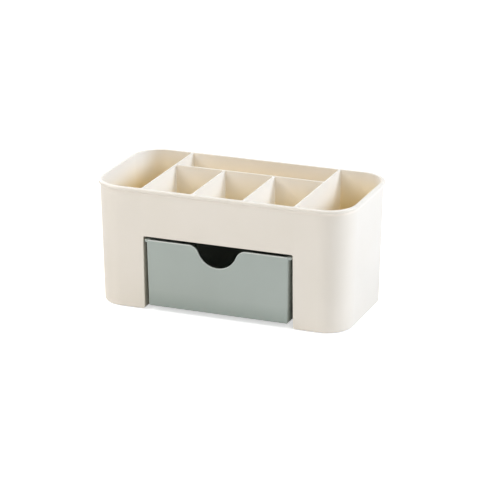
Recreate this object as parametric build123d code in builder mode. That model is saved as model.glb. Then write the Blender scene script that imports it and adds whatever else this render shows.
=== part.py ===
from build123d import *
from math import acos, degrees, radians, sin, tan
import os

# Makeup drawer box: a cream moulding with two deep end wells, a row of shallow compartments
# and a drawer bay under them, and a sage drawer that hangs by its flange on two runner strips.
# Millimetres. X is the width, -Y the front, +Z up. The origin is under the middle of the box,
# on the surface that the pads stand on.

# Body moulding, measured over the lip at its rim
body_width = 222.0
body_depth = 112.0
body_height = 102.5
corner_radius = 26.0
lip_overhang = 1.4
lip_height = 2.4
lip_edge_radius = 0.4
lip_root_radius = 0.6
wall_thickness = 2.0
floor_thickness = 2.0
draft_angle = 1.4
rim_edge_radius = 1.0
base_edge_radius = 1.0

# Compartments
divider_thickness = 1.4
divider_draft = 0.5
rear_row_depth = 35.5
pocket_corner_radius = 1.5
pocket_floor_radius = 1.2
pocket_mouth_radius = 0.4

# Drawer bay, open at the front and underneath
bay_width = 128.0
bay_height = 62.5
bay_ceiling_thickness = 1.8
bay_corner_radius = 1.2
bay_foot_radius = 2.4
bay_foot_turn = 70.0
opening_edge_radius = 0.4

# Drawer moulding, and the gaps round it in the bay
drawer_front_setback = 1.7
drawer_ground_gap = 4.0
drawer_top_gap = 2.4
drawer_side_gap = 3.2
drawer_wall = 1.8
drawer_floor = 1.8
drawer_draft = 1.0
drawer_corner_radius = 1.2
drawer_foot_radius = 1.0
inside_corner_radius = 1.0
inside_floor_radius = 0.8
flange_thickness = 1.9
flange_corner_radius = 4.0
flange_clearance = 0.3
drawer_rim_radius = 0.6
drawer_mouth_radius = 0.4

# Finger notch in the drawer's front
notch_depth = 17.0
notch_radius = 17.3
notch_shoulder_radius = 8.8

# Runner strips that carry the drawer's flange, with a stop behind it and pegs in the bay's side walls
runner_height = 4.0
runner_setback = 14.0
runner_lead_in = 1.5
runner_top_clearance = 0.2
runner_side_clearance = 0.5
stop_thickness = 2.0
stop_clearance = 0.3
stop_rear_gap = 1.1
peg_diameter = 3.6
peg_inset = 16.0
peg_clearance = 0.1
peg_end_wall = 0.7

# Anti-slip pads under the two ends
pad_diameter = 12.0
pad_stand = 0.8
pad_seat_depth = 0.8
pad_clearance = 0.2
pad_edge_radius = 0.4
pad_end_inset = 20.0

# Edges within this many degrees of upright count as upright, whatever their draft
upright_limit = 30.0

# Levels of the body
base_z = pad_stand
rim_z = base_z + body_height
ceiling_z = base_z + bay_height
well_depth = body_height - floor_thickness
pocket_depth = body_height - bay_height - bay_ceiling_thickness

# The outer wall at the rim, inside and outside, under the lip
outer_width = body_width - 2 * lip_overhang
outer_depth = body_depth - 2 * lip_overhang
outer_radius = corner_radius - lip_overhang
inner_width = outer_width - 2 * wall_thickness
inner_depth = outer_depth - 2 * wall_thickness
inner_radius = outer_radius - wall_thickness

# The middle between the two cross dividers, which stand on the bay's side walls
pocket_inset = pocket_depth * tan(radians(divider_draft))
middle_width = bay_width + 2 * pocket_inset
well_inner_x = middle_width / 2 + divider_thickness
front_pocket_width = (middle_width - 2 * divider_thickness) / 3
front_pocket_pitch = front_pocket_width + divider_thickness
front_pocket_depth = inner_depth - rear_row_depth - divider_thickness

# The bay's side walls turn outwards at their feet, and its rear wall leans forward with the draft
bay_foot_z = base_z + bay_foot_radius * sin(radians(bay_foot_turn))
bay_rear_top_y = inner_depth / 2 - (rim_z - ceiling_z) * tan(radians(draft_angle))
bay_rear_foot_y = inner_depth / 2 - (rim_z - base_z) * tan(radians(draft_angle))

# Runner places along the bay
runner_front_y = -body_depth / 2 + runner_setback
runner_rear_y = bay_rear_foot_y - stop_rear_gap
runner_middle_y = (runner_front_y + runner_rear_y) / 2
stop_front_y = runner_rear_y - stop_thickness

# Drawer levels and places
drawer_bottom_z = base_z + drawer_ground_gap
drawer_top_z = ceiling_z - drawer_top_gap
drawer_height = drawer_top_z - drawer_bottom_z
drawer_front_y = -body_depth / 2 + drawer_front_setback
drawer_rear_y = stop_front_y - stop_clearance
drawer_depth = drawer_rear_y - drawer_front_y
drawer_middle_y = (drawer_front_y + drawer_rear_y) / 2
drawer_width = bay_width - 2 * drawer_side_gap
flange_width = bay_width - 2 * flange_clearance

# Runner levels, and the pegs in what the bay's side wall leaves there
runner_width = drawer_side_gap - runner_side_clearance
runner_top_z = drawer_top_z - flange_thickness - runner_top_clearance
runner_bottom_z = runner_top_z - runner_height
runner_middle_z = (runner_bottom_z + runner_top_z) / 2
peg_pitch = runner_rear_y - runner_front_y - 2 * peg_inset
peg_wall = well_inner_x + (rim_z - runner_middle_z) * tan(radians(divider_draft)) - bay_width / 2
socket_depth = peg_wall - peg_end_wall
peg_length = socket_depth - peg_clearance

# Pads in the middle of each end's underside, from side to side
pad_pitch_x = (bay_width + body_width) / 2
pad_pitch_y = body_depth - 2 * pad_end_inset

rim_plane = Plane.XY.offset(rim_z)
drawer_plane = Plane.XY.offset(drawer_top_z)


def side_faces(part):
    """All faces but the flat ones at the top and the bottom."""
    return part.faces().filter_by(Axis.Z, reverse=True)


def level_faces(part):
    """The flat faces at the top and the bottom and any between them, the highest last."""
    return part.faces().filter_by(Axis.Z).sort_by(Axis.Z)


def upright_edges(part):
    """The edges that stand up, leaning only by their draft."""
    return part.edges().filter_by(Axis.Z, tolerance=upright_limit)


def floor_edges(part):
    """The edges round the lowest face."""
    return part.faces().sort_by(Axis.Z)[0].edges()


# The right-hand end well: the inside of the outer wall, beyond the cross divider
with BuildPart() as well:
    with BuildSketch(rim_plane):
        RectangleRounded(inner_width, inner_depth, inner_radius)
        with Locations((well_inner_x, 0)):
            Rectangle(body_width, body_depth, align=(Align.MAX, Align.CENTER), mode=Mode.SUBTRACT)
    extrude(amount=-well_depth)
    draft(side_faces(well).sort_by(Axis.X)[1:], rim_plane, -draft_angle)
    draft(side_faces(well).sort_by(Axis.X)[0], rim_plane, -divider_draft)
    fillet(upright_edges(well).group_by(Axis.X)[0], radius=pocket_corner_radius)
    fillet(floor_edges(well), radius=pocket_floor_radius)

# The long compartment along the rear, whose rear side leans with the outer wall
with BuildPart() as rear_pocket:
    with BuildSketch(rim_plane):
        with Locations((0, inner_depth / 2)):
            Rectangle(middle_width, rear_row_depth, align=(Align.CENTER, Align.MAX))
    extrude(amount=-pocket_depth)
    draft(side_faces(rear_pocket).sort_by(Axis.Y)[:-1], rim_plane, -divider_draft)
    draft(side_faces(rear_pocket).sort_by(Axis.Y)[-1], rim_plane, -draft_angle)
    fillet(upright_edges(rear_pocket), radius=pocket_corner_radius)
    fillet(floor_edges(rear_pocket), radius=pocket_floor_radius)

# One of the three compartments along the front, whose front side leans with the outer wall
with BuildPart() as front_pocket:
    with BuildSketch(rim_plane):
        with Locations((0, -inner_depth / 2)):
            Rectangle(front_pocket_width, front_pocket_depth, align=(Align.CENTER, Align.MIN))
    extrude(amount=-pocket_depth)
    draft(side_faces(front_pocket).sort_by(Axis.Y)[1:], rim_plane, -divider_draft)
    draft(side_faces(front_pocket).sort_by(Axis.Y)[0], rim_plane, -draft_angle)
    fillet(upright_edges(front_pocket), radius=pocket_corner_radius)
    fillet(floor_edges(front_pocket), radius=pocket_floor_radius)

# The drawer bay: open at the front and underneath, flared at its feet, up to the rear wall
with BuildPart() as bay:
    with BuildSketch(Plane.XZ):
        with BuildLine():
            foot = JernArc((bay_width / 2, bay_foot_z), (0, -1), bay_foot_radius, bay_foot_turn)
            Polyline(foot @ 1, (0, base_z), (0, ceiling_z))
            FilletPolyline((0, ceiling_z), (bay_width / 2, ceiling_z), foot @ 0, radius=bay_corner_radius)
        make_face()
        mirror(about=Plane.YZ)
    extrude(amount=body_depth, both=True)
    with BuildSketch(Plane.YZ):
        with BuildLine():
            Polyline(
                (-body_depth, base_z),
                (-body_depth, ceiling_z),
                (bay_rear_top_y, ceiling_z),
                (bay_rear_foot_y, base_z),
                close=True,
            )
        make_face()
    extrude(amount=bay_width, both=True, mode=Mode.INTERSECT)

with BuildPart() as body:
    # The drafted block with its rounded foot, and the lip round its rim
    with BuildSketch(rim_plane):
        RectangleRounded(outer_width, outer_depth, outer_radius)
    extrude(amount=-body_height)
    draft(side_faces(body), rim_plane, -draft_angle)
    fillet(floor_edges(body), radius=base_edge_radius)
    with BuildSketch(rim_plane):
        RectangleRounded(body_width, body_depth, corner_radius)
    extrude(amount=-lip_height)
    fillet(level_faces(body)[-1].edges(), radius=rim_edge_radius)
    fillet(level_faces(body)[-2].inner_wires().edges(), radius=lip_root_radius)
    fillet(level_faces(body)[-2].outer_wire().edges(), radius=lip_edge_radius)

    # The compartments, with softened mouths
    add(well.part, mode=Mode.SUBTRACT)
    add(well.part.mirror(Plane.YZ), mode=Mode.SUBTRACT)
    add(rear_pocket.part, mode=Mode.SUBTRACT)
    with GridLocations(front_pocket_pitch, 0, 3, 1):
        add(front_pocket.part, mode=Mode.SUBTRACT)
    mouths = level_faces(body)[-1].inner_wires()
    fillet(mouths.edges(), radius=pocket_mouth_radius)

    # The bay, with the edges of its front opening softened. Of the faces that look forward, the lip's
    # comes first and the front wall's second.
    add(bay.part, mode=Mode.SUBTRACT)
    front_wall = body.faces().filter_by(Axis.Y, tolerance=upright_limit).sort_by(Axis.Y)[1]
    opening = front_wall.edges().filter_by(GeomType.LINE).filter_by(
        lambda e: abs(e.center().X) < well_inner_x and e.center().Z < ceiling_z + bay_ceiling_thickness
    )
    fillet(opening, radius=opening_edge_radius)

    # Blind sockets in the bay's side walls for the runners' pegs
    for side in (-1, 1):
        with BuildSketch(Plane.YZ.offset(side * bay_width / 2)):
            with Locations((runner_middle_y, runner_middle_z)):
                with GridLocations(peg_pitch, 0, 2, 1):
                    Circle(peg_diameter / 2 + peg_clearance)
        extrude(amount=side * socket_depth, mode=Mode.SUBTRACT)

    # Shallow seats for the pads
    with BuildSketch(Plane.XY.offset(base_z)):
        with GridLocations(pad_pitch_x, pad_pitch_y, 2, 2):
            Circle(pad_diameter / 2 + pad_clearance)
    extrude(amount=pad_seat_depth, mode=Mode.SUBTRACT)
body.part.label = "body"

# The drawer's inside, cut out of its block
with BuildPart() as drawer_inside:
    with BuildSketch(drawer_plane):
        with Locations((0, drawer_middle_y)):
            Rectangle(drawer_width - 2 * drawer_wall, drawer_depth - 2 * drawer_wall)
    extrude(amount=drawer_floor - drawer_height)
    draft(side_faces(drawer_inside), drawer_plane, -drawer_draft)
    fillet(upright_edges(drawer_inside), radius=inside_corner_radius)
    fillet(floor_edges(drawer_inside), radius=inside_floor_radius)

# The flange along the drawer's top, wide at the sides where it slides on the runners
with BuildPart() as flange:
    with BuildSketch(drawer_plane):
        with Locations((0, drawer_middle_y)):
            RectangleRounded(flange_width, drawer_depth, flange_corner_radius)
    extrude(amount=-flange_thickness)
    draft(side_faces(flange), drawer_plane, -drawer_draft)

# The angle that the finger notch's round bottom turns through before the shoulder turns it level again
notch_sweep = degrees(acos(1 - notch_depth / (notch_radius + notch_shoulder_radius)))

with BuildPart() as drawer:
    with BuildSketch(drawer_plane):
        with Locations((0, drawer_middle_y)):
            Rectangle(drawer_width, drawer_depth)
    extrude(amount=-drawer_height)
    draft(side_faces(drawer), drawer_plane, -drawer_draft)
    fillet(upright_edges(drawer), radius=drawer_corner_radius)
    fillet(floor_edges(drawer), radius=drawer_foot_radius)
    add(flange.part)
    add(drawer_inside.part, mode=Mode.SUBTRACT)

    # The finger notch, through the front wall alone
    with BuildSketch(Plane.XZ.offset(-drawer_front_y)):
        with BuildLine():
            bottom = JernArc((0, drawer_top_z - notch_depth), (1, 0), notch_radius, notch_sweep)
            shoulder = JernArc(bottom @ 1, bottom % 1, notch_shoulder_radius, -notch_sweep)
            Polyline(shoulder @ 1, ((shoulder @ 1).X, ceiling_z), (0, ceiling_z), bottom @ 0)
        make_face()
        mirror(about=Plane.YZ)
    extrude(amount=-drawer_depth / 2, mode=Mode.SUBTRACT)

    # Rounding that runs round the rim and on down through the notch, outside and then inside
    rim_edges = drawer.edges().group_by(Axis.Z)[-1].filter_by(Axis.X).sort_by(Axis.Y)
    fillet(rim_edges[-1], radius=drawer_rim_radius)
    mouth_edges = drawer.edges().group_by(Axis.Z)[-1].filter_by(Axis.X).sort_by(Axis.Y)
    fillet(mouth_edges[-2], radius=drawer_mouth_radius)
drawer.part.label = "drawer"

# The two runner strips, mirror images of each other
runners = []
for side, side_name in ((-1, "left"), (1, "right")):
    with BuildPart() as runner:
        with BuildSketch(Plane.YZ.offset(side * bay_width / 2)):
            with BuildLine():
                Polyline(
                    (runner_front_y, runner_bottom_z),
                    (runner_rear_y, runner_bottom_z),
                    (runner_rear_y, drawer_top_z),
                    (stop_front_y, drawer_top_z),
                    (stop_front_y, runner_top_z),
                    (runner_front_y + runner_lead_in, runner_top_z),
                    (runner_front_y, runner_top_z - runner_lead_in),
                    close=True,
                )
            make_face()
        extrude(amount=-side * runner_width)
        with BuildSketch(Plane.YZ.offset(side * bay_width / 2)):
            with Locations((runner_middle_y, runner_middle_z)):
                with GridLocations(peg_pitch, 0, 2, 1):
                    Circle(peg_diameter / 2)
        extrude(amount=side * peg_length)
    runner.part.label = f"{side_name}_runner"
    runners.append(runner.part)

# The four pads, each standing out of its seat
pads = []
for end, end_name in ((-1, "front"), (1, "rear")):
    for side, side_name in ((-1, "left"), (1, "right")):
        with BuildPart() as pad:
            with BuildSketch():
                with Locations((side * pad_pitch_x / 2, end * pad_pitch_y / 2)):
                    Circle(pad_diameter / 2)
            extrude(amount=pad_stand + pad_seat_depth)
            fillet(floor_edges(pad), radius=pad_edge_radius)
        pad.part.label = f"{end_name}_{side_name}_pad"
        pads.append(pad.part)

os.makedirs("parts", exist_ok=True)
for piece in [body.part, drawer.part] + runners + pads:
    export_step(piece, f"parts/{piece.label}.step")
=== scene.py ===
import bpy
from math import cos, radians, sin, tan
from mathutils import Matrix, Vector


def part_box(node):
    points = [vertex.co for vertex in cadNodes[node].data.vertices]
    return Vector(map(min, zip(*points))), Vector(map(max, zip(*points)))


# Makeup drawer box, dressed for rendering. Metres, in the CAD model's own frame:
# +X to the right, -Y out of the front, +Z up, standing on z = 0.

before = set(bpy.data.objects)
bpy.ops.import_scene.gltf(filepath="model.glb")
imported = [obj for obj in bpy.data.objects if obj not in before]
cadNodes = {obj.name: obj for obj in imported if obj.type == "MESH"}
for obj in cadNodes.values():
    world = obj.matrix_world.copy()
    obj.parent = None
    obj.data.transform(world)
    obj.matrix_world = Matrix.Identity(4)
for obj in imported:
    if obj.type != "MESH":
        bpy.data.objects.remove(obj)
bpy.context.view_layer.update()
mm = 0.001
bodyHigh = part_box("body")[1]
drawerLow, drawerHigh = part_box("drawer")
print("frame loaded:", len(cadNodes), "nodes")


# Node tree helpers: each adds a node or a few and gives back the socket that carries the result

def newMaterial(name):
    material = bpy.data.materials.new(name)
    material.use_nodes = True
    tree = material.node_tree
    return material, tree, tree.nodes["Principled BSDF"]


def giveMaterial(nodeName, material):
    mesh = cadNodes[nodeName].data
    mesh.materials.clear()
    mesh.materials.append(material)


def plug(tree, value, socket):
    # a socket is linked, anything else is set as the socket's own value
    if isinstance(value, bpy.types.NodeSocket):
        tree.links.new(value, socket)
    else:
        socket.default_value = value


def objectPlace(tree, scale=(1, 1, 1), turn=(0, 0, 0)):
    place = tree.nodes.new("ShaderNodeTexCoord")
    mapping = tree.nodes.new("ShaderNodeMapping")
    mapping.inputs["Scale"].default_value = scale
    mapping.inputs["Rotation"].default_value = [radians(angle) for angle in turn]
    tree.links.new(place.outputs["Object"], mapping.inputs["Vector"])
    return mapping.outputs["Vector"]


def axes(tree, vector):
    node = tree.nodes.new("ShaderNodeSeparateXYZ")
    tree.links.new(vector, node.inputs[0])
    return node.outputs[0], node.outputs[1], node.outputs[2]


def noise(tree, place, scale, detail=2.0, roughness=0.5):
    node = tree.nodes.new("ShaderNodeTexNoise")
    tree.links.new(place, node.inputs["Vector"])
    node.inputs["Scale"].default_value = scale
    node.inputs["Detail"].default_value = detail
    node.inputs["Roughness"].default_value = roughness
    return node.outputs["Fac"]


def cells(tree, place, scale):
    node = tree.nodes.new("ShaderNodeTexVoronoi")
    tree.links.new(place, node.inputs["Vector"])
    node.inputs["Scale"].default_value = scale
    return node.outputs["Distance"]


def remap(tree, value, fromLow, fromHigh, toLow, toHigh, smooth=False):
    node = tree.nodes.new("ShaderNodeMapRange")
    node.interpolation_type = "SMOOTHSTEP" if smooth else "LINEAR"
    for name, given in zip(("Value", "From Min", "From Max", "To Min", "To Max"),
                           (value, fromLow, fromHigh, toLow, toHigh)):
        plug(tree, given, node.inputs[name])
    return node.outputs["Result"]


def rise(tree, value, start, end):
    # from 0 where the value is at the start to 1 where it is at the end, which may be the lower
    return remap(tree, value, start, end, 0.0, 1.0)


def calc(tree, operation, a, b=0.0):
    node = tree.nodes.new("ShaderNodeMath")
    node.operation = operation
    plug(tree, a, node.inputs[0])
    plug(tree, b, node.inputs[1])
    return node.outputs[0]


def product(tree, first, *others):
    for other in others:
        first = calc(tree, "MULTIPLY", first, other)
    return first


def near(tree, value, middle, width):
    # 1 where the value is at the middle, falling softly to 0 at the width to either side
    away = calc(tree, "ABSOLUTE", calc(tree, "SUBTRACT", value, middle))
    return remap(tree, away, 0.0, width, 1.0, 0.0, smooth=True)


def blendColour(tree, share, a, b):
    node = tree.nodes.new("ShaderNodeMix")
    node.data_type = "RGBA"
    plug(tree, share, node.inputs["Factor"])
    plug(tree, a, node.inputs["A"])
    plug(tree, b, node.inputs["B"])
    return node.outputs["Result"]


def bump(tree, height, depth, normal=None):
    node = tree.nodes.new("ShaderNodeBump")
    node.inputs["Distance"].default_value = depth
    tree.links.new(height, node.inputs["Height"])
    if normal is not None:
        tree.links.new(normal, node.inputs["Normal"])
    return node.outputs["Normal"]


# What the cream and the sage moulding share: rubbed edges that also carry a painted highlight, wipe
# marks, waviness and satin grain

moulded = {
    "bevelSamples": 6,
    "wearRadius": 0.8 * mm,
    "wearTurn": (0.99, 0.86),               # cosine of the surface's turn, from unworn to fully worn
    "wearPatches": (0.4, 0.6),              # levels of the handled noise between which wear grows
    "wearLeast": 0.6,
    "handledNoise": (60.0, 4.0),            # scale and detail
    "handledLevels": (0.3, 0.7),
    "patchLevels": (0.35, 0.65),
    "threadStretch": (0.012, 0.012, 1.0),   # along X and Y, so that the threads run round the box
    "threadDetail": (3.0, 0.6),
    "threadLevels": (0.56, 0.70),
    "swellNoise": 110.0,
    "swellDepth": 0.02 * mm,                # slow waviness of the walls
    "grainNoise": 2400.0,
    "grainDepth": 0.006 * mm,               # fine satin of the mould
    "ior": 1.5,
}


def roundedNormal(tree, radius):
    rounded = tree.nodes.new("ShaderNodeBevel")
    rounded.samples = moulded["bevelSamples"]
    rounded.inputs["Radius"].default_value = radius
    return rounded.outputs["Normal"]


def edgeShare(tree, handled):
    # how much the surface turns within the radius, 0 on a flat and up to 1 along an edge, and patchy:
    # rubbed edges, lighter partly as a painted highlight
    surface = tree.nodes.new("ShaderNodeNewGeometry")
    dot = tree.nodes.new("ShaderNodeVectorMath")
    dot.operation = "DOT_PRODUCT"
    tree.links.new(roundedNormal(tree, moulded["wearRadius"]), dot.inputs[0])
    tree.links.new(surface.outputs["Normal"], dot.inputs[1])
    turned = rise(tree, dot.outputs["Value"], *moulded["wearTurn"])
    patchy = remap(tree, handled, *moulded["wearPatches"], moulded["wearLeast"], 1.0)
    return product(tree, turned, patchy)


def wipeMarks(tree, mottle, given):
    # faint threads in two directions, and only where the mottle is high
    threads = []
    for scale, turn in given["threads"]:
        place = objectPlace(tree, scale=moulded["threadStretch"], turn=turn)
        streaks = noise(tree, place, scale, *moulded["threadDetail"])
        threads.append(rise(tree, streaks, *moulded["threadLevels"]))
    return product(tree, calc(tree, "MAXIMUM", *threads), rise(tree, mottle, *given["threadPatches"]))


def swellNormal(tree, place):
    return bump(tree, noise(tree, place, moulded["swellNoise"]), moulded["swellDepth"])


def grainNormal(tree, place, normal):
    return bump(tree, noise(tree, place, moulded["grainNoise"]), moulded["grainDepth"], normal)


# Cream moulding

cream = {
    "colour": (0.87, 0.80, 0.70, 1.0),
    "deeper": (0.855, 0.785, 0.68, 1.0),
    "mottle": (22.0, 3.0),                          # scale and detail
    # rubbed pale edges, partly a painted highlight along the edges
    "worn": (0.89, 0.83, 0.73, 1.0),
    "wearShare": 0.15,
    "threads": ((900.0, (0, 0, 0)), (1300.0, (9, 14, 0))),          # scale and turn of each set
    "threadPatches": (0.5, 0.62),
    "roughness": (0.30, 0.42),
    "threadRoughness": 0.07,
    "wearRoughness": 0.12,
    "rim": (0.91, 0.855, 0.765, 1.0),               # painted highlight along the top of the rim
    "rimLevels": (bodyHigh.z - 0.35 * mm, bodyHigh.z - 0.1 * mm),
    "underLip": (0.98, 0.90, 0.79, 1.0),            # painted light close under the lip, lightening the lip's shadow
    "underLipPlace": (bodyHigh.z - 3.2 * mm, 2.3 * mm),
    "inside": (0.965, 0.785, 0.44, 1.0),            # painted shade: warmer and darker inside, below the rim
    "insideLevels": ((100 * mm, 58 * mm), (103 * mm, 72 * mm)),     # between the wells, and in them
    "deep": (0.97, 0.745, 0.36, 1.0),               # painted shade, deeper still in the wells
    "deepLevels": (75 * mm, 20 * mm),
    "thin": (0.95, 0.92, 0.865, 1.0),               # painted light on the inner walls that face sideways, near the rim
    "thinLevels": ((50 * mm, 85 * mm), (76 * mm, 102 * mm)),        # between the wells, and in them
    "thinFacing": (0.5, 0.9),                       # how far such a wall faces sideways
    "wellReach": (65 * mm, 68 * mm),
    "bay": (0.66, 0.61, 0.52, 1.0),                 # painted shade in the drawer bay under the compartments
    "bayHalf": 64.4 * mm,
    "bayTop": 64.2 * mm,
    "undersideTop": 2.2 * mm,                       # the tones of the inside begin above this
    "outerHalf": (109.6 * mm, 54.6 * mm),           # the outer wall at the rim, its corner and its lean
    "outerCorner": 24.6 * mm,
    "outerLean": 1.4,
    "outerDepth": (0.7 * mm, 1.5 * mm),             # how far behind the outer face the inside begins
    "sinkDepth": 0.05 * mm,                         # shallow hollows opposite the dividers
    "sinkWidth": 2.6 * mm,
    "sinkPlaces": (21.7 * mm, 65.4 * mm),
    "sinkWall": bodyHigh.y - 3.2 * mm,              # only on the front and rear, from here outwards
    "sinkFoot": (64 * mm, 68 * mm),
    "sinkTop": (bodyHigh.z - 3 * mm, bodyHigh.z - 6 * mm),
}


def sinkMarks(tree):
    # lines on the outer front and rear walls where a divider meets the wall behind them
    x, y, z = axes(tree, objectPlace(tree))
    across = calc(tree, "ABSOLUTE", x)
    lines = [near(tree, across, place, cream["sinkWidth"]) for place in cream["sinkPlaces"]]
    outside = calc(tree, "GREATER_THAN", calc(tree, "ABSOLUTE", y), cream["sinkWall"])
    overBay = rise(tree, z, *cream["sinkFoot"])
    belowRim = rise(tree, z, *cream["sinkTop"])
    return product(tree, calc(tree, "MAXIMUM", *lines), outside, overBay, belowRim)


def behindWall(tree):
    # Depth behind the outer face: the distance to a rounded rectangle that shrinks downwards with
    # the wall's lean. 0 on the outside, 1 behind half the wall and on everything inside.
    x, y, z = axes(tree, objectPlace(tree))
    below = calc(tree, "SUBTRACT", bodyHigh.z, z)
    lean = product(tree, below, tan(radians(cream["outerLean"])))
    squares = []
    for place, half in zip((x, y), cream["outerHalf"]):
        out = calc(tree, "ADD", calc(tree, "ABSOLUTE", place), lean)
        past = calc(tree, "MAXIMUM", calc(tree, "SUBTRACT", out, half - cream["outerCorner"]), 0.0)
        squares.append(product(tree, past, past))
    reach = calc(tree, "SQRT", calc(tree, "ADD", *squares))
    return rise(tree, reach, *[cream["outerCorner"] - depth for depth in cream["outerDepth"]])


def byLevels(tree, levels):
    # 0 at the first level and 1 at the second, with one pair between the wells and another in them
    x, _, z = axes(tree, objectPlace(tree))
    between, inWells = [rise(tree, z, *pair) for pair in levels]
    well = rise(tree, calc(tree, "ABSOLUTE", x), *cream["wellReach"])
    return remap(tree, well, 0.0, 1.0, between, inWells)


def facingSideways(tree):
    surface = tree.nodes.new("ShaderNodeNewGeometry")
    sideways = calc(tree, "ABSOLUTE", axes(tree, surface.outputs["Normal"])[0])
    return rise(tree, sideways, *cream["thinFacing"])


def bayShare(tree):
    x, _, z = axes(tree, objectPlace(tree))
    under = calc(tree, "LESS_THAN", z, cream["bayTop"])
    between = calc(tree, "LESS_THAN", calc(tree, "ABSOLUTE", x), cream["bayHalf"])
    return product(tree, under, between)


def creamTone(tree, mottle, height):
    # from the outer wall inwards, with painted shade inside, painted side light near the rim and
    # painted shade in the bay, then painted light under the lip and a painted highlight along the rim
    patches = rise(tree, mottle, *moulded["patchLevels"])
    tone = blendColour(tree, patches, cream["deeper"], cream["colour"])
    overFoot = calc(tree, "GREATER_THAN", height, cream["undersideTop"])
    behind = product(tree, behindWall(tree), overFoot)
    # painted shade inside the compartments, deepening downwards
    deep = rise(tree, height, *cream["deepLevels"])
    inside = blendColour(tree, deep, cream["inside"], cream["deep"])
    insideShare = product(tree, behind, byLevels(tree, cream["insideLevels"]))
    tone = blendColour(tree, insideShare, tone, inside)
    # painted light on sideways-facing inner walls near the rim
    thin = product(tree, facingSideways(tree), byLevels(tree, cream["thinLevels"]))
    tone = blendColour(tree, product(tree, behind, thin), tone, cream["thin"])
    # painted shade in the drawer bay
    tone = blendColour(tree, product(tree, behind, bayShare(tree)), tone, cream["bay"])
    outside = calc(tree, "SUBTRACT", 1.0, behind)
    # painted light under the lip, lightening its shadow on the outer wall
    underLip = product(tree, near(tree, height, *cream["underLipPlace"]), outside)
    tone = blendColour(tree, underLip, tone, cream["underLip"])
    # painted highlight along the top of the rim
    return blendColour(tree, rise(tree, height, *cream["rimLevels"]), tone, cream["rim"])


def makeCreamPlastic():
    material, tree, shader = newMaterial("creamPlastic")
    place = objectPlace(tree)
    height = axes(tree, place)[2]
    mottle = noise(tree, place, *cream["mottle"])
    handled = noise(tree, place, *moulded["handledNoise"])
    marks = wipeMarks(tree, mottle, cream)
    # rubbed edges, lighter partly as a painted highlight along them
    wear = product(tree, edgeShare(tree, handled), cream["wearShare"])

    tone = blendColour(tree, wear, creamTone(tree, mottle, height), cream["worn"])
    tree.links.new(tone, shader.inputs["Base Color"])

    rough = remap(tree, handled, *moulded["handledLevels"], *cream["roughness"])
    rough = calc(tree, "ADD", rough, product(tree, marks, cream["threadRoughness"]))
    rough = calc(tree, "ADD", rough, product(tree, wear, cream["wearRoughness"]))
    tree.links.new(rough, shader.inputs["Roughness"])

    hollows = calc(tree, "SUBTRACT", 1.0, sinkMarks(tree))
    sunk = bump(tree, hollows, cream["sinkDepth"], swellNormal(tree, place))
    tree.links.new(grainNormal(tree, place, sunk), shader.inputs["Normal"])
    shader.inputs["IOR"].default_value = moulded["ior"]
    return material


giveMaterial("body", makeCreamPlastic())
print("cream moulding dressed")


# Sage drawer

sage = {
    "colour": (0.432, 0.476, 0.432, 1.0),
    "deeper": (0.418, 0.46, 0.416, 1.0),
    "mottle": (26.0, 3.0),                          # scale and detail
    # rubbed pale edges, partly a painted highlight along the edges
    "worn": (0.47, 0.515, 0.485, 1.0),
    "wearShare": 0.55,
    "threads": ((1000.0, (0, 0, 0)), (1400.0, (-8, 17, 0))),        # scale and turn of each set
    "threadPatches": (0.48, 0.6),
    "roughness": (0.34, 0.46),
    "threadRoughness": 0.08,
    "foot": (0.34, 0.385, 0.345, 1.0),              # painted shade, darker towards the bottom
    "footLevels": (19 * mm, 4 * mm),
    "lip": (0.62, 0.65, 0.61, 1.0),                 # painted highlight along the top edge and the notch
    "lipRadius": 1.2 * mm,
    "lipTurn": (0.98, 0.85),                        # cosine of the edge's turn away from forward
    "lipLevels": (drawerHigh.z - 0.8 * mm, drawerHigh.z - 0.3 * mm),
    "lipFront": drawerLow.y + 0.8 * mm,
    "lipHalf": 59.5 * mm,
    "notchFoot": drawerHigh.z - 18 * mm,
    "gripPlace": (0.0, drawerLow.y, drawerHigh.z - 9 * mm),
    "gripReach": (12 * mm, 34 * mm),                # fingers polish the front this far round the notch
    "gripPolish": 0.07,
    "rubFlange": drawerHigh.x - 2.7 * mm,           # the flange's overhang slides on the runners
    "rubNoise": 2600.0,
    "rubStretch": (1.0, 0.02, 1.0),
    "rubLevels": (0.45, 0.62),
    "rubShare": 0.5,
}


def gripShare(tree):
    distance = tree.nodes.new("ShaderNodeVectorMath")
    distance.operation = "DISTANCE"
    tree.links.new(objectPlace(tree), distance.inputs[0])
    distance.inputs[1].default_value = sage["gripPlace"]
    return remap(tree, distance.outputs["Value"], *sage["gripReach"], 1.0, 0.0, smooth=True)


def lipShare(tree):
    # Painted highlight on the topmost part of every wall, and in front on the edge that runs down
    # through the notch, where the surface is about to turn away from straight forward.
    x, y, z = axes(tree, objectPlace(tree))
    inner = calc(tree, "LESS_THAN", calc(tree, "ABSOLUTE", x), sage["lipHalf"])
    top = rise(tree, z, *sage["lipLevels"])
    front = calc(tree, "LESS_THAN", y, sage["lipFront"])
    high = calc(tree, "GREATER_THAN", z, sage["notchFoot"])
    forward = calc(tree, "ABSOLUTE", axes(tree, roundedNormal(tree, sage["lipRadius"]))[1])
    edge = product(tree, rise(tree, forward, *sage["lipTurn"]), front, high)
    return product(tree, inner, calc(tree, "MAXIMUM", top, edge))


def slideRubs(tree):
    # streaks along Y on the flange's overhang
    across = calc(tree, "ABSOLUTE", axes(tree, objectPlace(tree))[0])
    overhang = calc(tree, "GREATER_THAN", across, sage["rubFlange"])
    streaks = noise(tree, objectPlace(tree, scale=sage["rubStretch"]), sage["rubNoise"])
    return product(tree, overhang, rise(tree, streaks, *sage["rubLevels"]))


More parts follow.
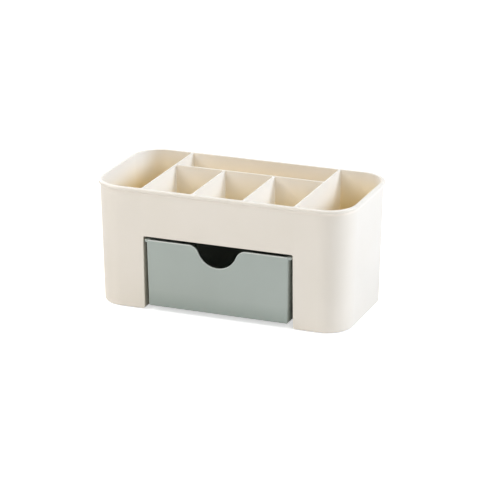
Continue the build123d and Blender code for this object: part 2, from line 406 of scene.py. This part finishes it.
def makeSagePlastic():
    material, tree, shader = newMaterial("sagePlastic")
    place = objectPlace(tree)
    height = axes(tree, place)[2]
    mottle = noise(tree, place, *sage["mottle"])
    handled = noise(tree, place, *moulded["handledNoise"])
    marks = wipeMarks(tree, mottle, sage)
    # rubbed edges, lighter partly as a painted highlight along them; the flange's slide rubs are real
    # wear
    edges = product(tree, edgeShare(tree, handled), sage["wearShare"])
    wear = calc(tree, "MAXIMUM", edges, product(tree, slideRubs(tree), sage["rubShare"]))

    patches = rise(tree, mottle, *moulded["patchLevels"])
    tone = blendColour(tree, patches, sage["deeper"], sage["colour"])
    # painted shade, darker towards the bottom
    tone = blendColour(tree, rise(tree, height, *sage["footLevels"]), tone, sage["foot"])
    tone = blendColour(tree, wear, tone, sage["worn"])
    # painted highlight along the top edge and the notch
    tone = blendColour(tree, lipShare(tree), tone, sage["lip"])
    tree.links.new(tone, shader.inputs["Base Color"])

    rough = remap(tree, handled, *moulded["handledLevels"], *sage["roughness"])
    rough = calc(tree, "ADD", rough, product(tree, marks, sage["threadRoughness"]))
    rough = calc(tree, "SUBTRACT", rough, product(tree, gripShare(tree), sage["gripPolish"]))
    tree.links.new(rough, shader.inputs["Roughness"])

    satin = grainNormal(tree, place, swellNormal(tree, place))
    tree.links.new(satin, shader.inputs["Normal"])
    shader.inputs["IOR"].default_value = moulded["ior"]
    return material


giveMaterial("drawer", makeSagePlastic())
print("drawer dressed")


# Runner strips, in a slippery matte plastic with polish along their tops

runner = {
    "colour": (0.82, 0.765, 0.66, 1.0),
    "deeper": (0.7, 0.64, 0.53, 1.0),
    "deeperShare": 0.12,
    "mottle": (180.0, 3.0),
    "mottleLevels": (0.3, 0.7),
    "roughness": (0.5, 0.62),
    "polished": (0.87, 0.825, 0.735, 1.0),
    "polishedRoughness": 0.3,
    "polishDepth": 2.6 * mm,            # down from the top of the strips
    "streakNoise": 3000.0,
    "streakStretch": (1.0, 0.015, 1.0),
    "streakLevels": (0.4, 0.6),
    "grainNoise": (1800.0, 3.0),
    "grainDepth": 0.012 * mm,
    "ior": 1.48,
}


def makeRunnerPlastic():
    material, tree, shader = newMaterial("runnerPlastic")
    place = objectPlace(tree)
    left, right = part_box("left_runner")[1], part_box("right_runner")[1]
    polishFoot = min(left.z, right.z) - runner["polishDepth"]
    top = calc(tree, "GREATER_THAN", axes(tree, place)[2], polishFoot)
    streaks = noise(tree, objectPlace(tree, scale=runner["streakStretch"]), runner["streakNoise"])
    polish = product(tree, top, rise(tree, streaks, *runner["streakLevels"]))

    mottle = noise(tree, place, *runner["mottle"])
    deeper = product(tree, mottle, runner["deeperShare"])
    shade = blendColour(tree, deeper, runner["colour"], runner["deeper"])
    tone = blendColour(tree, polish, shade, runner["polished"])
    tree.links.new(tone, shader.inputs["Base Color"])

    rough = remap(tree, mottle, *runner["mottleLevels"], *runner["roughness"])
    fall = product(tree, polish, runner["roughness"][0] - runner["polishedRoughness"])
    tree.links.new(calc(tree, "SUBTRACT", rough, fall), shader.inputs["Roughness"])

    grain = bump(tree, noise(tree, place, *runner["grainNoise"]), runner["grainDepth"])
    tree.links.new(grain, shader.inputs["Normal"])
    shader.inputs["IOR"].default_value = runner["ior"]
    return material


runnerPlastic = makeRunnerPlastic()
for runnerName in ("left_runner", "right_runner"):
    giveMaterial(runnerName, runnerPlastic)
print("runners dressed")


# Anti-slip pads, in a pebbled grey rubber that has picked up dust

pad = {
    "colour": (0.47, 0.445, 0.395, 1.0),
    "dust": (0.62, 0.6, 0.55, 1.0),
    "dustNoise": (260.0, 4.0),
    "dustLevels": (0.45, 0.7),
    "dustShare": 0.6,
    "speckNoise": (3600.0, 2.0),
    "speckLevels": (0.6, 0.7),
    "speckShare": 0.35,
    "roughness": (0.68, 0.85),
    "pebbleScale": 1500.0,
    "pebbleDepth": 0.05 * mm,
    "ior": 1.45,
}


def makePadRubber():
    material, tree, shader = newMaterial("padRubber")
    place = objectPlace(tree)
    dust = noise(tree, place, *pad["dustNoise"])
    specks = noise(tree, place, *pad["speckNoise"])
    dusty = remap(tree, dust, *pad["dustLevels"], 0.0, pad["dustShare"])
    specked = remap(tree, specks, *pad["speckLevels"], 0.0, pad["speckShare"])
    dirt = calc(tree, "MAXIMUM", dusty, specked)
    tree.links.new(blendColour(tree, dirt, pad["colour"], pad["dust"]), shader.inputs["Base Color"])
    rough = remap(tree, dirt, 0.0, pad["dustShare"], *pad["roughness"])
    tree.links.new(rough, shader.inputs["Roughness"])
    pebbles = bump(tree, cells(tree, place, pad["pebbleScale"]), pad["pebbleDepth"])
    tree.links.new(pebbles, shader.inputs["Normal"])
    shader.inputs["IOR"].default_value = pad["ior"]
    return material


padRubber = makePadRubber()
for padName in ("front_left_pad", "front_right_pad", "rear_left_pad", "rear_right_pad"):
    giveMaterial(padName, padRubber)
print("pads dressed")


# Studio: a pale floor, soft lamps and a white surround

studio = {
    "floorSize": 3.4,
    "floorColour": (0.9, 0.9, 0.9, 1.0),
    "floorLift": 0.6,               # how much the camera alone sees the floor lightened
    "surround": 0.15,               # how strongly the surround lights the box
    "lampDistance": 1.4,
    "lampTarget": (0.0, 0.0, 50 * mm),
    "lamps": {
        "frontLeftLamp": {"azimuth": -51, "elevation": 43, "size": 0.8, "watts": 11.0,
                          "colour": (1.0, 1.0, 1.0)},
        "frontRightLamp": {"azimuth": 45, "elevation": 30, "size": 0.8, "watts": 4.5,
                           "colour": (1.0, 1.0, 1.0)},
        "rightLamp": {"azimuth": 110, "elevation": 28, "size": 0.5, "watts": 9.9,
                      "colour": (0.89, 1.0, 1.18)},
        "highLamp": {"azimuth": 100, "elevation": 42, "size": 0.8, "watts": 1.9,
                     "colour": (0.95, 1.0, 1.08)},
        "rearLeftLamp": {"azimuth": -130, "elevation": 20, "size": 0.8, "watts": 8.6,
                         "colour": (1.0, 1.0, 1.0)},
    },
}


def makeFloorWhite():
    material, tree, shader = newMaterial("floorWhite")
    shader.inputs["Base Color"].default_value = studio["floorColour"]
    shader.inputs["Roughness"].default_value = 1.0
    shader.inputs["Specular IOR Level"].default_value = 0.0
    shader.inputs["Emission Color"].default_value = (1, 1, 1, 1)
    lightPath = tree.nodes.new("ShaderNodeLightPath")
    seen = product(tree, lightPath.outputs["Is Camera Ray"], studio["floorLift"])
    tree.links.new(seen, shader.inputs["Emission Strength"])

    # clear from below, so that the underside can be looked at
    side = tree.nodes.new("ShaderNodeNewGeometry")
    clear = tree.nodes.new("ShaderNodeBsdfTransparent")
    either = tree.nodes.new("ShaderNodeMixShader")
    tree.links.new(side.outputs["Backfacing"], either.inputs[0])
    tree.links.new(shader.outputs[0], either.inputs[1])
    tree.links.new(clear.outputs[0], either.inputs[2])
    tree.links.new(either.outputs[0], tree.nodes["Material Output"].inputs["Surface"])
    return material


def makeFloor():
    half = studio["floorSize"] / 2
    corners = [(-half, -half, 0), (half, -half, 0), (half, half, 0), (-half, half, 0)]
    mesh = bpy.data.meshes.new("floor")
    mesh.from_pydata(corners, [], [(0, 1, 2, 3)])
    mesh.materials.append(makeFloorWhite())
    floor = bpy.data.objects.new("floor", mesh)
    bpy.context.scene.collection.objects.link(floor)


def makeSurround():
    # white to the camera, in reflections and through clear things, and weak as a light
    world = bpy.data.worlds.new("surround")
    bpy.context.scene.world = world
    world.use_nodes = True
    tree = world.node_tree
    rays = tree.nodes.new("ShaderNodeLightPath").outputs
    seen = calc(tree, "MAXIMUM", rays["Is Camera Ray"], rays["Is Transmission Ray"])
    seen = calc(tree, "MAXIMUM", seen, rays["Is Glossy Ray"])
    background = tree.nodes["Background"]
    background.inputs["Color"].default_value = (1, 1, 1, 1)
    strength = remap(tree, seen, 0.0, 1.0, studio["surround"], 1.0)
    tree.links.new(strength, background.inputs["Strength"])


def direction(azimuth, elevation):
    # azimuth 0 is in front of the box, 90 at its right
    a, e = radians(azimuth), radians(elevation)
    return Vector((sin(a) * cos(e), -cos(a) * cos(e), sin(e)))


def makeLamp(name, given):
    light = bpy.data.lights.new(name, "AREA")
    light.shape = "SQUARE"
    light.size = given["size"]
    light.energy = given["watts"]
    light.color = given["colour"]
    lamp = bpy.data.objects.new(name, light)
    bpy.context.scene.collection.objects.link(lamp)
    away = direction(given["azimuth"], given["elevation"])
    lamp.location = Vector(studio["lampTarget"]) + away * studio["lampDistance"]
    lamp.rotation_euler = away.to_track_quat("Z", "Y").to_euler()
    lamp.visible_camera = False


makeFloor()
makeSurround()
for lampName, lampGiven in studio["lamps"].items():
    makeLamp(lampName, lampGiven)
print("studio lit")


# Camera at the photograph's angle

view = {
    "azimuth": 21.39,
    "elevation": 19.09,
    "distance": 2.02,
    "target": (7.21 * mm, 0.0, 43.34 * mm),
    "focalPixels": 2480.0,
    "pictureWidth": 500,
    "sensorWidth": 36.0,
    "farLimit": 50.0,
}


def makeCamera():
    data = bpy.data.cameras.new("camera")
    data.sensor_width = view["sensorWidth"]
    data.lens = view["focalPixels"] / view["pictureWidth"] * view["sensorWidth"]
    data.clip_end = view["farLimit"]
    camera = bpy.data.objects.new("camera", data)
    bpy.context.scene.collection.objects.link(camera)
    back = direction(view["azimuth"], view["elevation"])
    camera.location = Vector(view["target"]) + back * view["distance"]
    camera.rotation_euler = (-back).to_track_quat("-Z", "Y").to_euler()
    bpy.context.scene.camera = camera


makeCamera()
bpy.context.scene.view_settings.view_transform = "Standard"
print("camera set")
